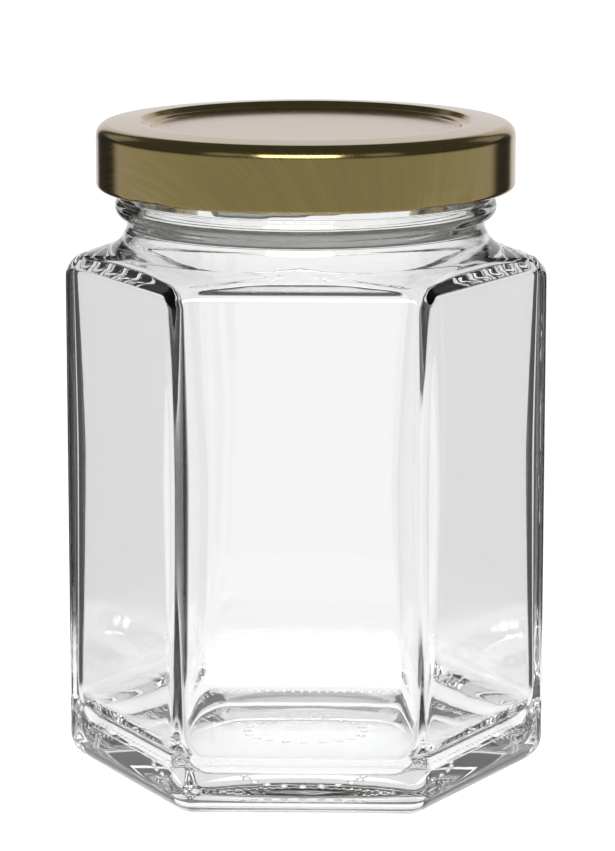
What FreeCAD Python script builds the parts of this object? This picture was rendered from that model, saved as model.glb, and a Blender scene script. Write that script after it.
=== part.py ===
"""A hexagonal glass jar with a four-lug twist-off lid, in millimetres.

The jar stands on z = 0 with its axis on Z. Two of its six upright edges lie on the X axis, so one
flat side faces -Y. Each solid is written to parts/ under its own name.
"""
import FreeCAD, Part
import math
import os

Vector = FreeCAD.Vector
UP = Vector(0, 0, 1)
ORIGIN = Vector(0, 0, 0)
SIDES = 6
HALF_SIDE = math.radians(180 / SIDES)

# ---- Driving dimensions ---------------------------------------------------------------------

# Outside of the body
across_flats = 66.8
edge_radius = 2.5  # upright edges
heel_radius = 4.5  # between a side and the base
heel_edge_radius = 1.2  # what the upright edges are left with at the base
shoulder_height = 79.6  # where the upright edges start to turn inward

# Outside of the shoulder: one outline over the edges and one over the flat sides
edge_crown_radius = 3.9
side_crown_rise = 1.0  # the flat sides stay upright this much longer
side_crown_radius = 2.6
hollow_radius = 4.4  # between the shoulder and the neck
neck_cone = 63.0  # degrees from level, under the neck
neck_rise = 8.4  # from the start of the shoulder to the neck
foot_drop = 3.2  # from the neck down to where its cone meets the shoulder

# Neck and finish
finish_radius = 29.6
lip_width = 3.0  # from the bore to the outside of the finish
neck_wall = 1.65
bead_proud = 0.55  # the bead under the lid stands this far out of the finish
bead_section = 1.9
bead_rise = 3.3  # from the neck to the middle of the bead
finish_rise = 12.9  # from the middle of the bead to the top of the lip
rim_radius = 1.3  # rounding of the lip, outside and inside

# Glass
wall = 2.7
floor_thickness = 4.2
floor_radius = 7.0
cavity_edge_low = 2.6  # the cavity's upright edges: radius at the floor, at their roundest and on top
cavity_edge_middle = 6.5
cavity_edge_top = 2.2
cavity_edge_height = 52.0  # where they are roundest
floor_edge_radius = 2.0  # and where they run out on the floor
bearing_width = 3.4  # flat ring that the jar stands on, across the flats
push_up_rise = 1.6

# Ridges that the lid's lugs hook under
lugs = 4
ridge_depth = 1.4
ridge_height = 2.4
ridge_pitch = 2.4  # rise over one ridge
ridge_start = -29.0  # azimuth of a low end, measured from the front
ridge_sweep = 84.0
ridge_fade = 10.0  # degrees in which an end sinks into the wall

# Lid
lid_sheet = 0.25
lid_corner = 2.0
crest_reach = 0.9  # the raised ring is highest this far outside the bore
crest_fall = 0.28  # it slopes outward by this much
step_inset = 0.4  # its inner edge lies this far inside the bore
step_width = 0.7
ledge_width = 0.9
ledge_drop = 0.75
panel_drop = 0.4  # from the ledge down to the panel
panel_bevel = 0.4
skirt_depth = 10.6  # from the ring's crest to the bottom of the curl
curl_radius = 0.85
lug_sweep = 20.0
lug_height = 0.4
lug_rise = 0.05  # underside of a lug above the bottom of the curl
lug_azimuth = 42.0  # of one lug, measured from the front
dent_depth = 0.55
dent_height = 1.5

# Clearances between the two
liner_gap = 0.3  # room for the sealing compound over the lip
curl_clearance = 0.35  # between the curl and the ridges
lug_clearance = 0.7  # between a lug and the finish
hook_clearance = 0.19  # between a lug and the ridge over it

# ---- Sizes that follow ----------------------------------------------------------------------

flat_reach = across_flats / 2
push_up_radius = flat_reach - heel_radius - bearing_width
cavity_reach = flat_reach - wall
floor_height = push_up_rise + floor_thickness

bore_radius = finish_radius - lip_width
neck_radius = bore_radius + neck_wall
bead_radius = finish_radius + bead_proud
ridge_reach = finish_radius + ridge_depth
neck_height = shoulder_height + neck_rise
bead_height = neck_height + bead_rise
finish_height = bead_height + finish_rise

lid_radius = ridge_reach + curl_clearance + 2 * curl_radius
crest_radius = bore_radius + crest_reach
step_radius = bore_radius - step_inset
lug_reach = finish_radius + lug_clearance
crest_height = finish_height + liner_gap + lid_sheet
skirt_bottom = crest_height - skirt_depth
lug_low = skirt_bottom + lug_rise
lug_top = lug_low + lug_height
hook_share = (lug_azimuth - lug_sweep / 2 - ridge_start) / ridge_sweep
ridge_low = lug_top + hook_clearance - ridge_pitch * hook_share
FRONT = -90.0  # azimuth of the flat side that faces -Y


def corner_reach(flat, radius):
    """How far out a hexagon's rounded corner lies, for the reach of its flats and its corner radius."""
    return (flat - radius) / math.cos(HALF_SIDE) + radius


def corner_radius(flat, corner):
    """The other way round: the corner radius that gives a corner its reach."""
    sharp = flat / math.cos(HALF_SIDE)
    return (sharp - corner) / (1 / math.cos(HALF_SIDE) - 1)


def polar(reach, azimuth, z):
    return Vector(reach * math.cos(azimuth), reach * math.sin(azimuth), z)


def ring(flat, corner, z):
    """A level outline of six sides and six corners. It is a circle where corner equals flat."""
    radius = corner_radius(flat, corner)
    centre = (flat - radius) / math.cos(HALF_SIDE)
    across = radius * math.sin(HALF_SIDE)
    along = centre + radius * math.cos(HALF_SIDE)
    round_ring = corner - flat < 0.02
    turn = 0.95 * HALF_SIDE if round_ring else math.atan2(across, along)
    reach = flat if round_ring else math.hypot(across, along)
    edges = []
    for side in range(SIDES):
        middle = 2 * HALF_SIDE * side
        following = 2 * HALF_SIDE * (side + 1)
        start = polar(reach, middle - turn, z)
        end = polar(reach, middle + turn, z)
        next_start = polar(reach, following - turn, z)
        edges.append(Part.Arc(start, polar(corner, middle, z), end).toShape())
        if round_ring:
            edges.append(Part.Arc(end, polar(flat, middle + HALF_SIDE, z), next_start).toShape())
        else:
            edges.append(Part.LineSegment(end, next_start).toShape())
    return Part.Wire(edges)


def loft(rings):
    return Part.makeLoft(rings, True, False)


def fuse(solids):
    return solids[0].fuse(solids[1:]).removeSplitter()


def revolve(points_and_arcs, sweep=360.0, start=0.0):
    """Turns a closed outline of (radius, height) points round Z. An entry of two points is an arc
    through the first of them to the second."""
    edges = []
    last = points_and_arcs[0]
    here = Vector(last[0], 0, last[1])
    for entry in points_and_arcs[1:] + [last]:
        if isinstance(entry[0], tuple):
            through, to = (Vector(r, 0, z) for r, z in entry)
            edges.append(Part.Arc(here, through, to).toShape())
        else:
            to = Vector(entry[0], 0, entry[1])
            edges.append(Part.LineSegment(here, to).toShape())
        here = to
    solid = Part.Face(Part.Wire(edges)).revolve(ORIGIN, UP, sweep)
    solid.rotate(ORIGIN, UP, start)
    return solid


def on_arc(centre, radius, degrees):
    angle = math.radians(degrees)
    return (centre[0] + radius * math.cos(angle), centre[1] + radius * math.sin(angle))


# ---- Shoulder -------------------------------------------------------------------------------


class Outline:
    """A shoulder's outline in one upright plane: an arc off the wall, a straight slope, and a hollow
    arc into the cone under the neck. Called with a height, it gives the distance from the axis."""

    def __init__(self, reach, start, crown, neck):
        self.reach = reach
        self.start = start
        self.crown = crown
        self.neck = neck
        self.cone = math.radians(neck_cone)
        foot = (neck[0] + foot_drop / math.tan(self.cone), neck[1] - foot_drop)
        run = foot[0] - (reach - crown)
        rise = foot[1] - start
        tangent = math.atan2(rise, run) - math.acos(crown / math.hypot(run, rise))
        self.slope = math.pi / 2 - tangent
        self.crown_end = (reach - crown * (1 - math.cos(tangent)), start + crown * math.sin(tangent))
        trim = hollow_radius * math.tan((self.cone - self.slope) / 2)
        self.top = foot[1] + trim * math.sin(self.cone)
        self.slope_end = (
            foot[0] + trim * math.cos(self.slope),
            foot[1] - trim * math.sin(self.slope),
        )
        self.centre = (
            self.slope_end[0] + hollow_radius * math.sin(self.slope),
            self.slope_end[1] + hollow_radius * math.cos(self.slope),
        )

    def __call__(self, z):
        if z <= self.start:
            return self.reach
        if z <= self.crown_end[1]:
            return self.reach - self.crown + math.sqrt(self.crown**2 - (z - self.start) ** 2)
        if z <= self.slope_end[1]:
            return self.crown_end[0] - (z - self.crown_end[1]) / math.tan(self.slope)
        if z <= self.top:
            return self.centre[0] - math.sqrt(hollow_radius**2 - (self.centre[1] - z) ** 2)
        return self.neck[0] + (self.neck[1] - z) / math.tan(self.cone)


def shoulder(over_edge, over_side, rings=11):
    """The solid between the body and the neck, and the height and radius of its round top."""
    low = min(over_edge.start, over_side.start)
    high = max(over_edge.top, over_side.top)
    levels = [low + (high - low) * step / (rings - 1) for step in range(rings)]
    outlines = [ring(over_side(z), max(over_edge(z), over_side(z)), z) for z in levels]
    return loft(outlines), high, over_side(high)


# ---- Jar ------------------------------------------------------------------------------------


def heel(flat, radius, inset, edge, edge_end, z, steps=5):
    """A hexagon's rounded underside: rings that step out and up round a quarter circle."""
    rings = []
    for step in range(steps + 1):
        angle = math.pi / 2 * step / steps
        short = radius * (1 - math.sin(angle))
        reach = flat - short
        corner = edge_end + (edge - edge_end) * (1 - short / inset)
        rings.append(ring(reach, corner_reach(reach, corner), z + radius * (1 - math.cos(angle))))
    return loft(rings)


def jar_outside():
    edge_reach = corner_reach(flat_reach, edge_radius)
    neck = (neck_radius, neck_height)
    over_edge = Outline(edge_reach, shoulder_height, edge_crown_radius, neck)
    over_side = Outline(flat_reach, shoulder_height + side_crown_rise, side_crown_radius, neck)
    lower = heel(flat_reach, heel_radius, heel_radius, edge_radius, heel_edge_radius, 0)
    body = Part.Face(ring(flat_reach, edge_reach, heel_radius))
    body = body.extrude(UP * (shoulder_height - heel_radius))
    upper, top, top_radius = shoulder(over_edge, over_side)
    return fuse([lower, body, upper, finish_outside(top, top_radius)])


def finish_outside(foot, foot_radius):
    """Neck, bead and lip, turned in one piece."""
    bead = (bead_radius - bead_section, bead_height)
    bead_top = math.degrees(math.acos((finish_radius - bead[0]) / bead_section))
    lip = finish_height - rim_radius
    return revolve(
        [
            (0, foot),
            (foot_radius, foot),
            (neck_radius, neck_height),
            (neck_radius, bead_height - bead_section),
            (on_arc(bead, bead_section, -30), on_arc(bead, bead_section, bead_top)),
            (finish_radius, lip),
            (
                on_arc((finish_radius - rim_radius, lip), rim_radius, 45),
                (finish_radius - rim_radius, finish_height),
            ),
            (0, finish_height),
        ]
    )


def cavity_edge(z, low, high):
    """Radius of the cavity's upright edges at height z."""
    if z < cavity_edge_height:
        end = cavity_edge_low
        share = (cavity_edge_height - z) / (cavity_edge_height - low)
    else:
        end = cavity_edge_top
        share = (z - cavity_edge_height) / (high - cavity_edge_height)
    return cavity_edge_middle + (end - cavity_edge_middle) * share**1.3


def cavity():
    """The inside: a hexagon whose upright edges are roundest above the middle, and a round bore."""
    wall_low = floor_height + floor_radius
    wall_high = shoulder_height - wall / 2
    lower = heel(
        cavity_reach, floor_radius, floor_radius, cavity_edge_low, floor_edge_radius, floor_height
    )
    walls = []
    steps = 8
    for step in range(steps + 1):
        z = wall_low + (wall_high - wall_low) * step / steps
        radius = cavity_edge(z, wall_low, wall_high)
        walls.append(ring(cavity_reach, corner_reach(cavity_reach, radius), z))
    neck = (bore_radius, neck_height)
    top_reach = corner_reach(cavity_reach, cavity_edge_top)
    over_edge = Outline(top_reach, wall_high, edge_crown_radius, neck)
    over_side = Outline(cavity_reach, wall_high + side_crown_rise, side_crown_radius, neck)
    upper, top, top_radius = shoulder(over_edge, over_side)
    lip = finish_height - rim_radius
    bore = revolve(
        [
            (0, top),
            (top_radius, top),
            (bore_radius, neck_height),
            (bore_radius, lip),
            (
                on_arc((bore_radius + rim_radius, lip), rim_radius, 135),
                (bore_radius + rim_radius, finish_height),
            ),
            (0, finish_height),
        ]
    )
    return fuse([lower, loft(walls), upper, bore])


def push_up():
    """The shallow dome under the base, so that the jar stands on a ring."""
    sphere = (push_up_radius**2 + push_up_rise**2) / (2 * push_up_rise)
    ball = Part.makeSphere(sphere)
    ball.rotate(ORIGIN, Vector(0, 1, 0), 90)
    ball.translate(Vector(0, 0, push_up_rise - sphere))
    return ball


def ridge(start, slices=12):
    """One ridge: a round bar that climbs round the finish and sinks into the wall at both ends."""
    radius = ridge_height / 2
    proud = ridge_reach - radius
    hidden = finish_radius - ridge_height
    sections = []
    for step in range(slices + 1):
        turned = ridge_sweep * (1 - math.cos(math.pi * step / slices)) / 2
        from_end = min(turned, ridge_sweep - turned)
        share = math.sin(math.pi / 2 * min(1, from_end / ridge_fade))
        azimuth = math.radians(start + turned)
        z = ridge_low + radius + ridge_pitch * turned / ridge_sweep
        centre = polar(hidden + (proud - hidden) * share, azimuth, z)
        along = Vector(-math.sin(azimuth), math.cos(azimuth), 0)
        sections.append(Part.Wire(Part.makeCircle(radius, centre, along)))
    return loft(sections)


def ridges():
    return [ridge(FRONT + ridge_start + lug * 360 / lugs) for lug in range(lugs)]


def jar():
    glass = jar_outside().cut(cavity()).cut(push_up())
    return fuse([glass] + ridges())


# ---- Lid ------------------------------------------------------------------------------------


def lid_outline(inset, bottom):
    """The lid's outer surface moved inward by inset, closed along the axis and at the bottom."""
    crest = crest_height - inset
    ledge = crest_height - ledge_drop - inset
    panel = ledge - panel_drop
    corner_z = crest_height - crest_fall - lid_corner
    corner_r = lid_radius - lid_corner
    corner = lid_corner - inset
    step = step_radius + inset
    return [
        (0, panel),
        (step - step_width - ledge_width - panel_bevel, panel),
        (step - step_width - ledge_width, ledge),
        (step - step_width, ledge),
        (step, crest),
        (crest_radius, crest),
        (corner_r, corner_z + corner),
        (on_arc((corner_r, corner_z), corner, 45), (lid_radius - inset, corner_z)),
        (lid_radius - inset, bottom),
        (0, bottom),
    ]


def curl():
    """The rolled edge at the foot of the skirt."""
    roll = Part.makeTorus(lid_radius - curl_radius, curl_radius)
    roll.translate(UP * (skirt_bottom + curl_radius))
    return roll


def lug_azimuths():
    return [FRONT + lug_azimuth + lug * 360 / lugs for lug in range(lugs)]


def lug_tab(azimuth):
    outer = lid_radius - curl_radius
    tab = [(lug_reach, lug_low), (outer, lug_low), (outer, lug_top), (lug_reach, lug_top)]
    solid = revolve(tab, lug_sweep, azimuth - lug_sweep / 2)
    ends = [edge for edge in solid.Edges if is_tab_corner(edge)]
    return solid.makeFillet((outer - lug_reach) / 2, ends)


def is_tab_corner(edge):
    """True for the upright edges at a tab's free end."""
    low, high = (vertex.Point for vertex in edge.Vertexes)
    return abs(math.hypot(low.x, low.y) - lug_reach) < 1e-6 and (low - high).Length < lug_height * 1.01


def dent(azimuth):
    """A wedge outside the skirt whose leaning face presses the curl in over a lug."""
    clear = 1.0
    lean = dent_depth / dent_height
    outline = [
        (lid_radius, skirt_bottom + dent_height),
        (lid_radius + clear, skirt_bottom + dent_height),
        (lid_radius + clear, skirt_bottom - clear),
        (lid_radius - dent_depth - lean * clear, skirt_bottom - clear),
    ]
    corners = [Vector(r, -lid_radius, z) for r, z in outline]
    block = Part.Face(Part.makePolygon(corners + corners[:1])).extrude(Vector(0, 2 * lid_radius, 0))
    block.rotate(ORIGIN, UP, azimuth)
    return block


def lid():
    low = skirt_bottom + curl_radius
    shell = revolve(lid_outline(0, low)).cut(revolve(lid_outline(lid_sheet, low)))
    body = fuse([shell, curl()])
    for azimuth in lug_azimuths():
        body = body.cut(dent(azimuth))
    return fuse([body] + [lug_tab(azimuth) for azimuth in lug_azimuths()])


# ---- Output ---------------------------------------------------------------------------------

os.makedirs("parts", exist_ok=True)
for name, shape in (("jar", jar()), ("lid", lid())):
    box = shape.BoundBox
    print(
        f"{name}: {len(shape.Solids)} solid, valid {shape.isValid()}, {shape.Volume / 1000:.2f} cm3, "
        f"x {box.XMin:.2f} {box.XMax:.2f}, y {box.YMin:.2f} {box.YMax:.2f}, "
        f"z {box.ZMin:.2f} {box.ZMax:.2f}, {len(shape.Faces)} faces"
    )
    shape.exportStep(f"parts/{name}.step")
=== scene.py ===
"""The looks of the hexagonal glass jar and its twist-off lid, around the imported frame."""
import bpy
import math
import numpy as np
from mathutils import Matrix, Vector


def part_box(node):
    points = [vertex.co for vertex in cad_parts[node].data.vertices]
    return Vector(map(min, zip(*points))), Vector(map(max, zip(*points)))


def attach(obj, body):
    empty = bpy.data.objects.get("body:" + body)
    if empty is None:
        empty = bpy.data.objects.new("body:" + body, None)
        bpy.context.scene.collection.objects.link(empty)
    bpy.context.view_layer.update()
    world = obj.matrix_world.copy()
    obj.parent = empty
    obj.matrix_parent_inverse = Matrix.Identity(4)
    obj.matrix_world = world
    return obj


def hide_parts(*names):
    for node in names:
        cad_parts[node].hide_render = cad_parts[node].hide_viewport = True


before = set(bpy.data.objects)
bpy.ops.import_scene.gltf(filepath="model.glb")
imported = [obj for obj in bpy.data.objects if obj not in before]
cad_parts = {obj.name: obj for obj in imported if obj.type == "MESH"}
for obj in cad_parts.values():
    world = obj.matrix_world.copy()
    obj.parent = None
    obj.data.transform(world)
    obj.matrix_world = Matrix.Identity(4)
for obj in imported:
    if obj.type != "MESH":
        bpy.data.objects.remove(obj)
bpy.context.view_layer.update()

MM = 0.001
SIDES = 6
HALF_SIDE = math.radians(180 / SIDES)
FRONT = math.radians(-90)  # azimuth of the flat side that faces -Y

# ---- Sizes, in millimetres ------------------------------------------------------------------

jar_high = np.array(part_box("jar")[1]) / MM
lid_low, lid_high = (np.array(corner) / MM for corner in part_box("lid"))

# Outside of the body
flat_reach = jar_high[1]
edge_radius = 2.5
heel_radius = 4.5
heel_edge_radius = 1.2
shoulder_height = 79.6

# Outside of the shoulder
edge_crown_radius = 3.9
side_crown_rise = 1.0
side_crown_radius = 2.6
hollow_radius = 4.4
neck_cone = 63.0
neck_rise = 8.4
foot_drop = 3.2

# Neck and finish
finish_radius = 29.6
finish_height = jar_high[2]
finish_rise = 12.9
bore_radius = 26.6
neck_radius = 28.25
bead_radius = 30.15
bead_section = 1.9
rim_radius = 1.3
neck_height = shoulder_height + neck_rise
bead_height = finish_height - finish_rise

# Glass
wall = 2.7
floor_thickness = 4.2
floor_radius = 7.0
cavity_edge_low = 2.6
cavity_edge_middle = 6.5
cavity_edge_top = 2.2
cavity_edge_height = 52.0
floor_edge_radius = 2.0
bearing_width = 3.4
push_up_rise = 1.6
push_up_radius = flat_reach - heel_radius - bearing_width
cavity_reach = flat_reach - wall
floor_height = push_up_rise + floor_thickness

# The cavity's shoulder is higher and sharper than the CAD's, so that the glass is thin there. It
# starts this far above shoulder_height, over the edges and over the flat sides.
inner_edge_rise = 1.0
inner_edge_crown = 1.5
inner_side_rise = 3.0
inner_side_crown = 1.0

# Ridges that the lid's lugs hook under
lugs = 4
ridge_reach = 31.0
ridge_height = 2.4
ridge_low = 93.05
ridge_pitch = 2.4
ridge_start = -29.0
ridge_sweep = 84.0
ridge_fade = 10.0

# Knurling on the ring that the jar stands on
knurl_radius = 0.42
knurl_spacing = 1.45
knurl_rows = (1.0, 2.1)  # in from the heel
knurl_lift = 0.2  # the ring is raised by this, and the beads reach down to the ground

# Ring of raised dots under the push-up
dot_radius = 0.7
dot_height = 0.3
dot_ring = 9.5  # radius of the ring
dot_count = 20

# Lid
lid_radius = lid_high[0]
crest_height = lid_high[2]
skirt_bottom = lid_low[2]
lid_sheet = 0.25
lid_corner = 2.0
crest_radius = 27.5
crest_fall = 0.28
step_radius = 26.2
step_width = 0.7
ledge_width = 0.9
ledge_drop = 0.75
panel_drop = 0.4
panel_bevel = 0.4
panel_margin = 2.0  # the panel's outermost row of faces is this wide
step_rounding = 0.3
curl_radius = 0.85
lug_reach = 30.3
lug_sweep = 20.0
lug_azimuth = 42.0
dent_depth = 0.55
dent_height = 1.5
brush_azimuth = math.radians(-57)  # the way the sheet was brushed before it was drawn


# ---- Meshes ---------------------------------------------------------------------------------


def add_object(name, data):
    piece = bpy.data.objects.new(name, data)
    bpy.context.collection.objects.link(piece)
    return piece


def mesh_piece(name, vertices, faces, materials, node=None):
    """A smooth mesh that rides with the jar, and may take the place of a CAD node."""
    mesh = bpy.data.meshes.new(name)
    mesh.from_pydata((np.asarray(vertices) * MM).tolist(), [], faces)
    mesh.validate()
    for polygon in mesh.polygons:
        polygon.use_smooth = True
    for material in materials:
        mesh.materials.append(material)
    piece = add_object(name, mesh)
    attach(piece, "root")
    if node:
        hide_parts(node)
    return piece


def ring_points(reach, azimuths, z, centre=(0, 0)):
    """Points round an upright axis. reach and z are one number each, or one for each point."""
    x = centre[0] + reach * np.cos(azimuths)
    y = centre[1] + reach * np.sin(azimuths)
    return np.column_stack([x, y, np.broadcast_to(z, azimuths.shape)])


def closed_rows(rows, first_tip, last_tip):
    """Vertices and faces of rows of points, all of one length, closed by a tip at each end."""
    count = len(rows[0])
    vertices = np.vstack([*rows, [first_tip], [last_tip]])
    faces = []
    for row in range(len(rows) - 1):
        here = row * count
        above = here + count
        for column in range(count):
            following = (column + 1) % count
            faces.append((here + column, here + following, above + following, above + column))
    first = len(rows) * count
    top = first - count
    for column in range(count):
        following = (column + 1) % count
        faces.append((first, following, column))
        faces.append((first + 1, top + column, top + following))
    return vertices, faces


def tangents(grid, axis):
    """Direction of a grid of points along one axis, fair to points that lie unevenly."""
    before = grid - np.roll(grid, 1, axis)
    after = np.roll(grid, -1, axis) - grid
    long_before = np.linalg.norm(before, axis=2, keepdims=True)
    long_after = np.linalg.norm(after, axis=2, keepdims=True)
    return before / long_before * long_after + after / long_after * long_before


def soft_normals(rows, spread=2):
    """Normals of closed rows and their two tips, evened out over that many columns each way."""
    grid = np.array(rows)
    normals = np.cross(tangents(grid, 1), tangents(grid, 0))
    along = np.roll(grid, -1, 1) - np.roll(grid, 1, 1)
    normals[0] = np.cross(along[0], grid[1] - grid[0])
    normals[-1] = np.cross(along[-1], grid[-1] - grid[-2])
    normals /= np.linalg.norm(normals, axis=2, keepdims=True)
    steps = range(-spread, spread + 1)
    soft = sum((spread + 1 - abs(step)) * np.roll(normals, step, 1) for step in steps)
    soft /= np.linalg.norm(soft, axis=2, keepdims=True)
    return np.vstack([soft.reshape(-1, 3), [(0, 0, -1)], [(0, 0, 1)]])


# ---- Jar ------------------------------------------------------------------------------------


def sector_angles(per_half=30, crowding=1.3):
    """Column azimuths, crowded towards the six corners, and each one's angle from its corner."""
    share = np.linspace(0, 1, per_half, endpoint=False)
    half = HALF_SIDE * share**crowding
    sector = np.concatenate([-half[:0:-1], half, [HALF_SIDE]])
    azimuths = np.concatenate([sector + 2 * HALF_SIDE * side for side in range(SIDES)])
    return azimuths, np.tile(np.abs(sector), SIDES)


AZIMUTHS, FROM_CORNER = sector_angles()


def corner_reach(flat, radius):
    """How far out the corners of a hexagon lie once they are rounded."""
    return (flat - radius) / math.cos(HALF_SIDE) + radius


def corner_radius(flat, corner):
    """The rounding that leaves the corners that far out."""
    sharp = flat / math.cos(HALF_SIDE)
    return (sharp - corner) / (1 / math.cos(HALF_SIDE) - 1)


def reaches(flat, corner):
    """How far out each column lies on a rounded hexagon, or on a circle where corner equals flat."""
    radius = corner_radius(flat, corner)
    centre = (flat - radius) / math.cos(HALF_SIDE)
    turn = math.atan2(radius * math.sin(HALF_SIDE), centre + radius * math.cos(HALF_SIDE))
    on_side = flat / np.cos(HALF_SIDE - FROM_CORNER)
    inside = np.maximum(radius**2 - (centre * np.sin(FROM_CORNER)) ** 2, 0)
    on_corner = centre * np.cos(FROM_CORNER) + np.sqrt(inside)
    return np.where(FROM_CORNER < turn, on_corner, on_side)


def row(reach, z):
    return ring_points(reach, AZIMUTHS, z)


class Outline:
    """A shoulder's outline in one upright plane: an arc off the wall, a straight slope, and a hollow
    arc into the cone under the neck. Called with a height, it gives the distance from the axis."""

    def __init__(self, reach, start, crown, neck):
        self.reach = reach
        self.start = start
        self.crown = crown
        self.neck = neck
        self.cone = math.radians(neck_cone)
        foot = (neck[0] + foot_drop / math.tan(self.cone), neck[1] - foot_drop)
        run = foot[0] - (reach - crown)
        rise = foot[1] - start
        tangent = math.atan2(rise, run) - math.acos(crown / math.hypot(run, rise))
        self.slope = math.pi / 2 - tangent
        self.crown_end = (reach - crown * (1 - math.cos(tangent)), start + crown * math.sin(tangent))
        trim = hollow_radius * math.tan((self.cone - self.slope) / 2)
        self.top = foot[1] + trim * math.sin(self.cone)
        self.slope_end = (
            foot[0] + trim * math.cos(self.slope),
            foot[1] - trim * math.sin(self.slope),
        )
        self.centre = (
            self.slope_end[0] + hollow_radius * math.sin(self.slope),
            self.slope_end[1] + hollow_radius * math.cos(self.slope),
        )

    def __call__(self, z):
        if z <= self.start:
            return self.reach
        if z <= self.crown_end[1]:
            return self.reach - self.crown + math.sqrt(self.crown**2 - (z - self.start) ** 2)
        if z <= self.slope_end[1]:
            return self.crown_end[0] - (z - self.crown_end[1]) / math.tan(self.slope)
        if z <= self.top:
            return self.centre[0] - math.sqrt(hollow_radius**2 - (self.centre[1] - z) ** 2)
        return self.neck[0] + (self.neck[1] - z) / math.tan(self.cone)

    def levels(self):
        """Heights that follow the outline evenly, closer together round its two arcs."""
        tangent = math.pi / 2 - self.slope
        crown = self.start + self.crown * np.sin(np.linspace(0, tangent, 11))
        slope = np.linspace(self.crown_end[1], self.slope_end[1], 9)
        hollow = np.linspace(self.slope, self.cone, 7)
        return [*crown, *slope, *(self.centre[1] - hollow_radius * np.cos(hollow))]


def shoulder_rows(over_edge, over_side, closest=0.03):
    """Rows at the heights that either outline needs, none nearer to the last than closest."""
    rows = []
    last = -math.inf
    for z in sorted(over_edge.levels() + over_side.levels()):
        if z < last + closest:
            continue
        last = z
        flat = over_side(z)
        rows.append(row(reaches(flat, max(over_edge(z), flat)), z))
    return rows


def heel_rows(flat, radius, edge, edge_end, z, count=14):
    """From the foot upward round a quarter circle."""
    rows = []
    for angle in np.linspace(0, math.pi / 2, count):
        short = radius * (1 - math.sin(angle))
        reach = flat - short
        corner = edge_end + (edge - edge_end) * (1 - short / radius)
        height = z + radius * (1 - math.cos(angle))
        rows.append(row(reaches(reach, corner_reach(reach, corner)), height))
    return rows


def arc_rows(centre, radius, start, end, count):
    """Round rows along an arc of the (radius, height) outline, in degrees."""
    angles = np.radians(np.linspace(start, end, count))
    return [row(centre[0] + radius * math.cos(a), centre[1] + radius * math.sin(a)) for a in angles]


def ridge_bulge(z):
    """How far out the lid's ridges bring each column of the finish at height z."""
    bar = ridge_height / 2
    reach = np.full(AZIMUTHS.shape, finish_radius)
    for lug in range(lugs):
        start = FRONT + math.radians(ridge_start) + lug * 2 * math.pi / lugs
        turned = np.degrees((AZIMUTHS - start) % (2 * math.pi))
        along = turned <= ridge_sweep
        from_end = np.minimum(turned, ridge_sweep - turned)
        share = np.sin(math.pi / 2 * np.clip(from_end / ridge_fade, 0, 1))
        hidden = finish_radius - ridge_height
        centre = hidden + (ridge_reach - bar - hidden) * share
        height = z - (ridge_low + bar + ridge_pitch * turned / ridge_sweep)
        proud = centre + np.sqrt(np.maximum(bar**2 - height**2, 0))
        reach = np.where(along & (np.abs(height) < bar), np.maximum(reach, proud), reach)
    return reach


def push_up(reach):
    """Height of the jar's underside, a shallow dome that springs from the knurled ring."""
    rise = push_up_rise - knurl_lift
    sphere = (push_up_radius**2 + rise**2) / (2 * rise)
    return push_up_rise - sphere + math.sqrt(sphere**2 - reach**2)


def outside_rows():
    """From the middle of the underside out, up the sides and over the lip."""
    rows = [row(reach, push_up(reach)) for reach in np.linspace(0.5, push_up_radius, 14)]
    rows += heel_rows(flat_reach, heel_radius, edge_radius, heel_edge_radius, knurl_lift)
    edge_reach = corner_reach(flat_reach, edge_radius)
    for z in np.linspace(knurl_lift + heel_radius, shoulder_height, 14)[1:-1]:
        rows.append(row(reaches(flat_reach, edge_reach), z))
    neck = (neck_radius, neck_height)
    over_edge = Outline(edge_reach, shoulder_height, edge_crown_radius, neck)
    over_side = Outline(flat_reach, shoulder_height + side_crown_rise, side_crown_radius, neck)
    rows += shoulder_rows(over_edge, over_side)
    rows += [row(neck_radius, neck_height), row(neck_radius, bead_height - bead_section)]
    bead = (bead_radius - bead_section, bead_height)
    bead_top = math.degrees(math.acos((finish_radius - bead[0]) / bead_section))
    rows += arc_rows(bead, bead_section, -80, bead_top, 14)
    foot = bead_height + bead_section * math.sin(math.radians(bead_top))
    lip = finish_height - rim_radius
    for z in np.linspace(foot, lip, 34)[1:]:
        rows.append(row(ridge_bulge(z), z))
    rows += arc_rows((finish_radius - rim_radius, lip), rim_radius, 0, 90, 9)[1:]
    return rows


def cavity_edge(z, low, high):
    """Radius of the cavity's upright edges at height z."""
    if z < cavity_edge_height:
        end = cavity_edge_low
        share = (cavity_edge_height - z) / (cavity_edge_height - low)
    else:
        end = cavity_edge_top
        share = (z - cavity_edge_height) / (high - cavity_edge_height)
    return cavity_edge_middle + (end - cavity_edge_middle) * share**1.3


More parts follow.
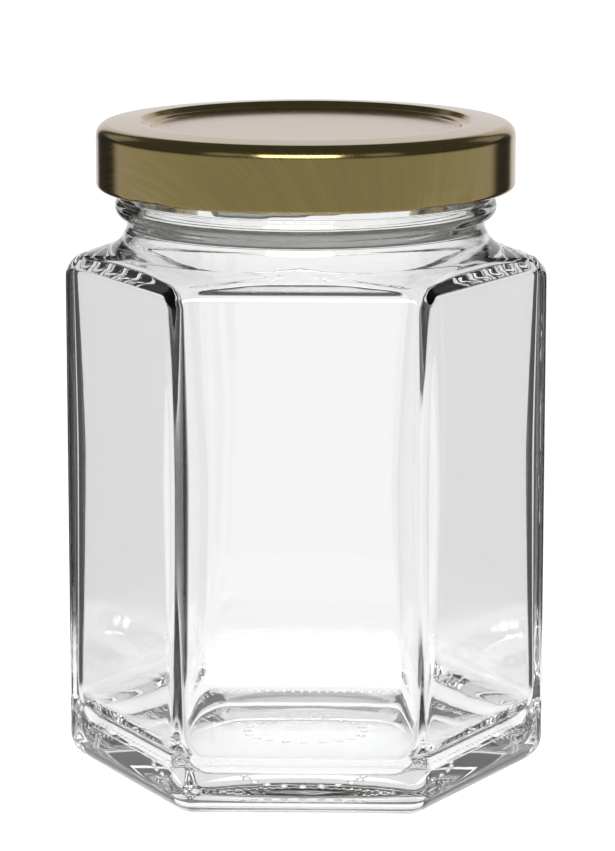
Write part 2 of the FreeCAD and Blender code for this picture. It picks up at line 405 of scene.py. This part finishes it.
def inside_rows():
    """From the lip down to the floor."""
    lip = finish_height - rim_radius
    rows = arc_rows((bore_radius + rim_radius, lip), rim_radius, 90, 180, 9)
    wall_low = floor_height + floor_radius
    wall_high = shoulder_height + inner_edge_rise
    neck = (bore_radius, neck_height)
    top_reach = corner_reach(cavity_reach, cavity_edge_top)
    over_edge = Outline(top_reach, wall_high, inner_edge_crown, neck)
    over_side = Outline(cavity_reach, shoulder_height + inner_side_rise, inner_side_crown, neck)
    rows.append(row(bore_radius, neck_height))
    rows += shoulder_rows(over_edge, over_side)[::-1]
    for z in np.linspace(wall_high, wall_low, 22)[1:-1]:
        radius = cavity_edge(z, wall_low, wall_high)
        rows.append(row(reaches(cavity_reach, corner_reach(cavity_reach, radius)), z))
    rows += heel_rows(
        cavity_reach, floor_radius, cavity_edge_low, floor_edge_radius, floor_height
    )[::-1]
    floor_reach = cavity_reach - floor_radius
    floor_edge = reaches(floor_reach, corner_reach(floor_reach, floor_edge_radius))
    for share in np.linspace(1, 0, 8)[1:-1]:
        rows.append(row(share * floor_edge, floor_height))
    return rows


def build_jar(glass):
    rows = outside_rows() + inside_rows()
    vertices, faces = closed_rows(rows, (0, 0, push_up_rise), (0, 0, floor_height))
    piece = mesh_piece("jar_glass", vertices, faces, [glass], "jar")
    piece.data.normals_split_custom_set_from_vertices(soft_normals(rows).tolist())


def beads(name, places, radius, height, glass):
    """Low round glass beads, half sunk into the jar's underside, as one piece."""
    around = np.linspace(0, 2 * math.pi, 12, endpoint=False)
    vertices = []
    faces = []
    for x, y, z in places:
        rows = []
        for angle in np.radians(np.linspace(-72, 72, 5)):
            reach = radius * math.cos(angle)
            rows.append(ring_points(reach, around, z + height * math.sin(angle), (x, y)))
        points, quads = closed_rows(rows, (x, y, z - height), (x, y, z + height))
        first = len(vertices)
        vertices += points.tolist()
        faces += [tuple(first + index for index in face) for face in quads]
    piece = mesh_piece(name, vertices, faces, [glass])


def build_knurling(glass):
    """Two rows of beads round the ring that the jar stands on."""
    places = []
    for inset in knurl_rows:
        reach = flat_reach - heel_radius - inset
        length = 2 * reach * math.tan(HALF_SIDE)
        count = int(length / knurl_spacing)
        for side in range(SIDES):
            azimuth = FRONT + side * 2 * HALF_SIDE
            for index in range(count):
                along = (index + 0.5 - count / 2) * knurl_spacing
                x = reach * math.cos(azimuth) - along * math.sin(azimuth)
                y = reach * math.sin(azimuth) + along * math.cos(azimuth)
                places.append((x, y, knurl_lift))
    beads("base_knurling", places, knurl_radius, knurl_lift, glass)


def build_dots(glass):
    """A plain ring of raised dots under the middle of the base."""
    azimuths = np.linspace(0, 2 * math.pi, dot_count, endpoint=False)
    places = ring_points(dot_ring, azimuths, push_up(dot_ring))
    beads("base_dots", places, dot_radius, dot_height, glass)


# ---- Lid ------------------------------------------------------------------------------------

LID_COLUMNS = 480
LID_AZIMUTHS = np.linspace(0, 2 * math.pi, LID_COLUMNS, endpoint=False)
CURL_TURN = 300  # degrees that the sheet is rolled under, so that its end stays open


def rounded(corners, radii, steps=5):
    """An outline through corners, each one rounded by an arc of its own radius."""
    points = [corners[0]]
    for before, corner, after, radius in zip(corners, corners[1:], corners[2:], radii):
        before, corner, after = (np.array(point, dtype=float) for point in (before, corner, after))
        come = (before - corner) / np.linalg.norm(before - corner)
        leave = (after - corner) / np.linalg.norm(after - corner)
        half = math.acos(np.clip(come @ leave, -1, 1)) / 2
        centre = corner + radius / math.sin(half) * (come + leave) / np.linalg.norm(come + leave)
        trim = radius / math.tan(half)
        first = corner + trim * come - centre
        last = corner + trim * leave - centre
        turn = math.pi - 2 * half
        for share in np.linspace(0, 1, steps):
            weight = (math.sin((1 - share) * turn), math.sin(share * turn))
            points.append(centre + (weight[0] * first + weight[1] * last) / math.sin(turn))
    points.append(corners[-1])
    return points


def lid_top(inset):
    """(radius, height) points of the lid's panel and ring, from inside the panel's edge outward."""
    crest = crest_height - inset
    ledge = crest_height - ledge_drop - inset
    step = step_radius + inset
    ledge_end = step - step_width - ledge_width
    panel_end = ledge_end - panel_bevel
    corners = [
        (panel_end - panel_margin, ledge - panel_drop),
        (panel_end, ledge - panel_drop),
        (ledge_end, ledge),
        (step - step_width, ledge),
        (step, crest),
        (crest_radius, crest),
    ]
    return rounded(corners, [step_rounding] * 4)


def lid_side(inset):
    """Over the corner and down the skirt."""
    corner_z = crest_height - crest_fall - lid_corner
    corner_r = lid_radius - lid_corner
    corner = lid_corner - inset
    points = []
    for angle in np.radians(np.linspace(90, 0, 16)):
        points.append((corner_r + corner * math.cos(angle), corner_z + corner * math.sin(angle)))
    for z in np.linspace(corner_z, skirt_bottom + curl_radius, 24)[1:]:
        points.append((lid_radius - inset, z))
    return points


def near_lug(azimuths, sweep):
    """1 over the middle of each lug, fading to 0 at its ends."""
    spacing = 2 * math.pi / lugs
    offset = (azimuths - FRONT - math.radians(lug_azimuth) + spacing / 2) % spacing - spacing / 2
    share = np.clip(1.5 - 1.5 * np.abs(offset) / math.radians(sweep / 2), 0, 1)
    return share * share * (3 - 2 * share)


def build_lid():
    """Pressed sheet, rolled under at the hem, with the hem pinched inward at the four lugs. It is
    gold outside and enamelled inside."""
    outside = lid_top(0) + lid_side(0)
    inside = lid_top(lid_sheet) + lid_side(lid_sheet)
    centre = (lid_radius - curl_radius, skirt_bottom + curl_radius)
    roll = []
    for angle in np.radians(np.linspace(0, -CURL_TURN, 31))[1:]:
        radius = centre[0] + curl_radius * math.cos(angle)
        roll.append((radius, centre[1] + curl_radius * math.sin(angle)))
    pinch = near_lug(LID_AZIMUTHS, lug_sweep)
    rows = []
    for index, (radius, z) in enumerate(outside + roll + inside[::-1]):
        above_hem = (z - skirt_bottom) / (dent_height + curl_radius)
        fade = max(0, 1 - above_hem**2)
        push = dent_depth * fade
        if len(outside) <= index < len(outside) + len(roll):
            inward = (centre[0] - radius) / curl_radius
            lug = centre[0] - curl_radius - dent_depth - lug_reach
            push = dent_depth + max(0, inward) * lug
        rows.append(ring_points(radius - push * pinch, LID_AZIMUTHS, z))
    panel = crest_height - ledge_drop - panel_drop
    vertices, faces = closed_rows(rows, (0, 0, panel), (0, 0, panel - lid_sheet))
    faces = [face[::-1] for face in faces]
    materials = [gold_material(), enamel_material()]
    piece = mesh_piece("lid_shell", vertices, faces, materials, "lid")
    first_inside = (len(outside) + len(roll)) * LID_COLUMNS
    for polygon in piece.data.polygons:
        if min(polygon.vertices) >= first_inside:
            polygon.material_index = 1


# ---- Node helpers ---------------------------------------------------------------------------


def feed(tree, socket, value):
    """Set a socket to a number, or link an output to it."""
    if isinstance(value, bpy.types.NodeSocket):
        tree.links.new(value, socket)
    else:
        socket.default_value = value


def maths(tree, operation, *values):
    node = tree.nodes.new("ShaderNodeMath")
    node.operation = operation
    for socket, value in zip(node.inputs, values):
        feed(tree, socket, value)
    return node.outputs[0]


def product(tree, first, *others):
    for other in others:
        first = maths(tree, "MULTIPLY", first, other)
    return first


def total(tree, first, *others):
    for other in others:
        first = maths(tree, "ADD", first, other)
    return first


def largest(tree, first, *others):
    for other in others:
        first = maths(tree, "MAXIMUM", first, other)
    return first


def without(tree, value):
    """One minus value."""
    return maths(tree, "SUBTRACT", 1.0, value)


def length(tree, x, y):
    return maths(tree, "SQRT", total(tree, product(tree, x, x), product(tree, y, y)))


def ramp(tree, value, low, high, first=0.0, last=1.0):
    """Runs smoothly from first at low to last at high, and no further."""
    node = tree.nodes.new("ShaderNodeMapRange")
    node.interpolation_type = "SMOOTHSTEP"
    numbers = {"From Min": low, "From Max": high, "To Min": first, "To Max": last}
    for name, number in numbers.items():
        node.inputs[name].default_value = number
    feed(tree, node.inputs["Value"], value)
    return node.outputs[0]


def sweep(tree, angle, low, high, first=0.0, last=1.0):
    """A ramp over an angle, between two numbers of degrees."""
    return ramp(tree, angle, math.radians(low), math.radians(high), first, last)


def noise(tree, vector, scale, detail=2.0, roughness=0.5):
    node = tree.nodes.new("ShaderNodeTexNoise")
    node.inputs["Scale"].default_value = scale
    node.inputs["Detail"].default_value = detail
    node.inputs["Roughness"].default_value = roughness
    feed(tree, node.inputs["Vector"], vector)
    return node.outputs["Fac"]


def split_vector(tree, vector):
    node = tree.nodes.new("ShaderNodeSeparateXYZ")
    feed(tree, node.inputs[0], vector)
    return node.outputs


def join_vector(tree, x, y, z):
    node = tree.nodes.new("ShaderNodeCombineXYZ")
    for socket, value in zip(node.inputs, (x, y, z)):
        feed(tree, socket, value)
    return node.outputs[0]


def mix_colours(tree, factor, first, second):
    node = tree.nodes.new("ShaderNodeMix")
    node.data_type = "RGBA"
    feed(tree, node.inputs["Factor"], factor)
    node.inputs[6].default_value = (*first, 1)
    node.inputs[7].default_value = (*second, 1)
    return node.outputs[2]


def bump(tree, height, strength, distance):
    node = tree.nodes.new("ShaderNodeBump")
    node.inputs["Strength"].default_value = strength
    node.inputs["Distance"].default_value = distance
    feed(tree, node.inputs["Height"], height)
    return node.outputs["Normal"]


def place(tree):
    """Position on the object, in metres."""
    return tree.nodes.new("ShaderNodeTexCoord").outputs["Object"]


def light_path(tree):
    return tree.nodes.new("ShaderNodeLightPath").outputs


# ---- Materials ------------------------------------------------------------------------------

# The lid's brushing, in noise cells for each metre along and across the lines
FINE_LINES = (60, 5000)
BROAD_LINES = (25, 420)


def new_material(name):
    material = bpy.data.materials.new(name)
    material.use_nodes = True
    tree = material.node_tree
    return material, tree, tree.nodes["Principled BSDF"]


def clear_where(tree, shader, share):
    """Let rays straight through the material where share is 1."""
    clear = tree.nodes.new("ShaderNodeBsdfTransparent")
    mix = tree.nodes.new("ShaderNodeMixShader")
    tree.links.new(share, mix.inputs["Fac"])
    tree.links.new(shader.outputs["BSDF"], mix.inputs[1])
    tree.links.new(clear.outputs["BSDF"], mix.inputs[2])
    tree.links.new(mix.outputs["Shader"], tree.nodes["Material Output"].inputs["Surface"])


def glass_material():
    """Clear flint glass, blown into a mould: faintly wavy, and clear to shadow rays."""
    material, tree, shader = new_material("clear_flint_glass")
    shader.inputs["Base Color"].default_value = (0.975, 0.98, 0.978, 1)
    shader.inputs["Transmission Weight"].default_value = 1
    shader.inputs["Roughness"].default_value = 0
    shader.inputs["IOR"].default_value = 1.52
    waves = noise(tree, place(tree), 90, detail=3)
    tree.links.new(bump(tree, waves, 0.06, 0.0004), shader.inputs["Normal"])
    clear_where(tree, shader, light_path(tree)["Is Shadow Ray"])
    return material


def brushed(tree):
    """Fine and broad lines in the flat sheet, all one way, that run down the skirt as the sheet
    was drawn: a place on the skirt is as far out in the flat sheet as its drawn depth."""
    x, y, z = split_vector(tree, place(tree))
    radius = length(tree, x, y)
    rim = (crest_height - crest_fall) * MM
    drawn = largest(tree, maths(tree, "SUBTRACT", rim, z), 0.0)
    stretch = maths(tree, "DIVIDE", total(tree, radius, drawn), largest(tree, radius, MM))
    flat_x = product(tree, x, stretch)
    flat_y = product(tree, y, stretch)
    cosine = math.cos(brush_azimuth)
    sine = math.sin(brush_azimuth)
    along = total(tree, product(tree, flat_x, cosine), product(tree, flat_y, sine))
    beside = product(tree, flat_x, sine)
    across = maths(tree, "SUBTRACT", product(tree, flat_y, cosine), beside)
    lines = []
    for layer, (lengthwise, crosswise) in ((0.0, FINE_LINES), (4.0, BROAD_LINES)):
        stretched = product(tree, along, lengthwise)
        squeezed = product(tree, across, crosswise)
        lines.append(noise(tree, join_vector(tree, stretched, squeezed, layer), 1, 2))
    return lines


def gold_material():
    """Brushed tinplate under clear gold lacquer."""
    material, tree, shader = new_material("brushed_gold_lacquer")
    fine, broad = brushed(tree)
    streak = total(tree, product(tree, fine, 0.75), product(tree, broad, 0.25))
    shade = ramp(tree, streak, 0.35, 0.65)
    colour = mix_colours(tree, shade, (0.32, 0.24, 0.077), (0.38, 0.295, 0.1))
    tree.links.new(colour, shader.inputs["Base Color"])
    shader.inputs["Metallic"].default_value = 1
    tree.links.new(ramp(tree, fine, 0.3, 0.7, 0.13, 0.2), shader.inputs["Roughness"])
    tree.links.new(bump(tree, streak, 0.12, 0.00003), shader.inputs["Normal"])
    shader.inputs["Specular Tint"].default_value = (0.92, 0.79, 0.72, 1)
    shader.inputs["Coat Weight"].default_value = 0.75
    shader.inputs["Coat Roughness"].default_value = 0.12
    shader.inputs["Coat IOR"].default_value = 1.5
    return material


def enamel_material():
    """The pale enamel inside the lid."""
    material, tree, shader = new_material("pale_enamel")
    mottle = noise(tree, place(tree), 260, detail=3)
    shade = ramp(tree, mottle, 0.35, 0.65)
    colour = mix_colours(tree, shade, (0.80, 0.79, 0.75), (0.86, 0.85, 0.81))
    tree.links.new(colour, shader.inputs["Base Color"])
    shader.inputs["Roughness"].default_value = 0.35
    tree.links.new(bump(tree, mottle, 0.1, 0.00005), shader.inputs["Normal"])
    return material


# ---- Studio ---------------------------------------------------------------------------------

# Half the angle, in degrees, between the white panels that stand or lie round the jar
PANEL_PITCH = 22.5
# Brightness of what the glass and the lid see, where plain white is 1
DARKEST_THROUGH = 0.015
BACKDROP_MIRRORED = 0.82
WINDOWS_MIRRORED = 0.42
# The part of it that light loses once it has been reflected
LOST_INSIDE = 0.25
# Glow of the floor, to the camera and to glass and metal
FLOOR_SEEN = 0.6
FLOOR_MIRRORED = 0.43
# Glass and metal see the floor out to these distances from the axis, in metres. It reaches
# further behind and before the jar, by one over FLOOR_DEPTH.
FLOOR_EDGE = (0.044, 0.070)
FLOOR_DEPTH = 0.72
FLOOR_HALF = 3.0
FLOOR_DROP = 0.0002


def shown_through(tree, path, azimuth, height, backdrop):
    """Brightness that rays meet once they have gone through glass: the backdrop, white panels with
    dark gaps between them, and a dark strip low down at the back."""
    aside = maths(tree, "ABSOLUTE", azimuth)
    spoke = maths(tree, "PINGPONG", azimuth, math.radians(PANEL_PITCH))
    upright = product(tree, sweep(tree, spoke, 8, 12, 1, 0), sweep(tree, aside, 58, 64))
    lying = product(tree, sweep(tree, spoke, 16, 19, 1, 0), ramp(tree, height, -0.33, -0.38))
    under_ceiling = ramp(tree, height, 0.44, 0.54, 1, 0)
    white = product(tree, largest(tree, backdrop, largest(tree, upright, lying)), under_ceiling)
    inner = maths(tree, "GREATER_THAN", path["Glossy Depth"], 0.5)
    overhead = product(tree, ramp(tree, height, 0.4, 0.5), inner)
    steep = largest(tree, ramp(tree, height, -0.5, -0.6), overhead)
    low = product(tree, ramp(tree, height, -0.42, -0.48), ramp(tree, height, -0.68, -0.74, 1, 0))
    strip = product(tree, low, sweep(tree, aside, 38, 44, 1, 0))
    lit = product(tree, largest(tree, white, steep), without(tree, strip))
    kept = without(tree, product(tree, inner, LOST_INSIDE))
    return product(tree, largest(tree, lit, DARKEST_THROUGH), kept)


def shown_mirrored(tree, azimuth, height, backdrop):
    """Brightness that the lid and the face of the glass reflect: the backdrop, a grey card round
    the sides and the front, and four dim windows overhead."""
    aside = maths(tree, "ABSOLUTE", azimuth)
    card = product(tree, sweep(tree, aside, 49, 58), sweep(tree, aside, 70, 160, 0.62, 0.52))
    front = product(tree, card, ramp(tree, height, -0.1, 0.12, 1, 0.1))
    under_ceiling = ramp(tree, height, 0.44, 0.54, 1, 0)
    back = product(tree, backdrop, under_ceiling, BACKDROP_MIRRORED)
    corner = maths(tree, "PINGPONG", aside, math.radians(45))
    raised = product(tree, ramp(tree, height, 0.13, 0.24), ramp(tree, height, 0.5, 0.65, 1, 0))
    windows = product(tree, sweep(tree, corner, 28, 40), raised, WINDOWS_MIRRORED)
    dim = ramp(tree, height, 0.1, 0.25, 0.04, 0.09)
    return largest(tree, largest(tree, front, back), windows, dim)


def build_world():
    """White to the camera. Glass and metal see the studio that the two functions above describe,
    by azimuth and by height, which is the upward part of a ray's direction."""
    world = bpy.data.worlds.new("studio")
    bpy.context.scene.world = world
    world.use_nodes = True
    tree = world.node_tree
    background = tree.nodes["Background"]
    path = light_path(tree)
    direction = tree.nodes.new("ShaderNodeTexCoord").outputs["Generated"]
    x, y, height = split_vector(tree, direction)
    azimuth = maths(tree, "ARCTAN2", x, y)  # from +Y towards +X
    backdrop = product(tree, sweep(tree, azimuth, -25, -19), sweep(tree, azimuth, 24, 30, 1, 0))

    # A ray refracted by clear glass counts as glossy too
    only_glossy = maths(tree, "SUBTRACT", path["Is Glossy Ray"], path["Is Transmission Ray"])
    reflected = maths(tree, "GREATER_THAN", only_glossy, 0.5)
    through = shown_through(tree, path, azimuth, height, backdrop)
    mirrored = shown_mirrored(tree, azimuth, height, backdrop)
    brightness = total(
        tree,
        path["Is Camera Ray"],
        product(tree, path["Is Transmission Ray"], through),
        product(tree, reflected, mirrored),
        product(tree, path["Is Diffuse Ray"], 0.6),
    )
    background.inputs["Color"].default_value = (1, 1, 1, 1)
    tree.links.new(brightness, background.inputs["Strength"])


def floor_material():
    """White, and glowing a little more to the camera than to glass and metal, which see through it
    further out."""
    material, tree, shader = new_material("white_floor")
    shader.inputs["Base Color"].default_value = (0.8, 0.8, 0.8, 1)
    shader.inputs["Roughness"].default_value = 1
    shader.inputs["Specular IOR Level"].default_value = 0
    shader.inputs["Emission Color"].default_value = (1, 1, 1, 1)
    path = light_path(tree)
    mirrored = largest(tree, path["Is Transmission Ray"], path["Is Glossy Ray"])
    to_camera = product(tree, path["Is Camera Ray"], FLOOR_SEEN)
    glow = largest(tree, to_camera, product(tree, mirrored, FLOOR_MIRRORED))
    tree.links.new(glow, shader.inputs["Emission Strength"])
    position = split_vector(tree, place(tree))
    away = length(tree, position[0], product(tree, position[1], FLOOR_DEPTH))
    clear_where(tree, shader, product(tree, ramp(tree, away, *FLOOR_EDGE), mirrored))
    return material


def build_floor():
    """A white floor that keeps the jar's shadow."""
    mesh = bpy.data.meshes.new("floor")
    corners = [(-1, -1), (1, -1), (1, 1), (-1, 1)]
    mesh.from_pydata([(FLOOR_HALF * x, FLOOR_HALF * y, 0) for x, y in corners], [], [(0, 1, 2, 3)])
    piece = add_object("floor", mesh)
    piece.location.z = -FLOOR_DROP
    mesh.materials.append(floor_material())


def point_at(piece, location, target):
    piece.location = location
    aim = Vector(target) - Vector(location)
    piece.rotation_euler = aim.to_track_quat("-Z", "Y").to_euler()


def build_camera():
    camera = bpy.data.cameras.new("camera")
    camera.lens = 161.33
    camera.sensor_width = 36
    camera.clip_start = 0.05
    camera.clip_end = 20
    piece = add_object("camera", camera)
    point_at(piece, (0.01672, -0.59790, 0.17421), (0.00027, 0, 0.0556))
    bpy.context.scene.camera = piece


def area_light(name, location, target, size, power):
    light = bpy.data.lights.new(name, "AREA")
    light.shape = "RECTANGLE"
    light.size, light.size_y = size
    light.energy = power
    point_at(add_object(name, light), location, target)


glass = glass_material()
build_jar(glass)
build_knurling(glass)
build_dots(glass)
build_lid()
build_world()
build_floor()
build_camera()
area_light("soft_box", (-0.03, -0.75, 0.39), (0, 0, 0.1), (0.60, 0.32), 3.4)

scene = bpy.context.scene
scene.view_settings.view_transform = "Standard"
scene.cycles.max_bounces = 24
scene.cycles.transmission_bounces = 24
scene.cycles.glossy_bounces = 12
scene.cycles.transparent_max_bounces = 24
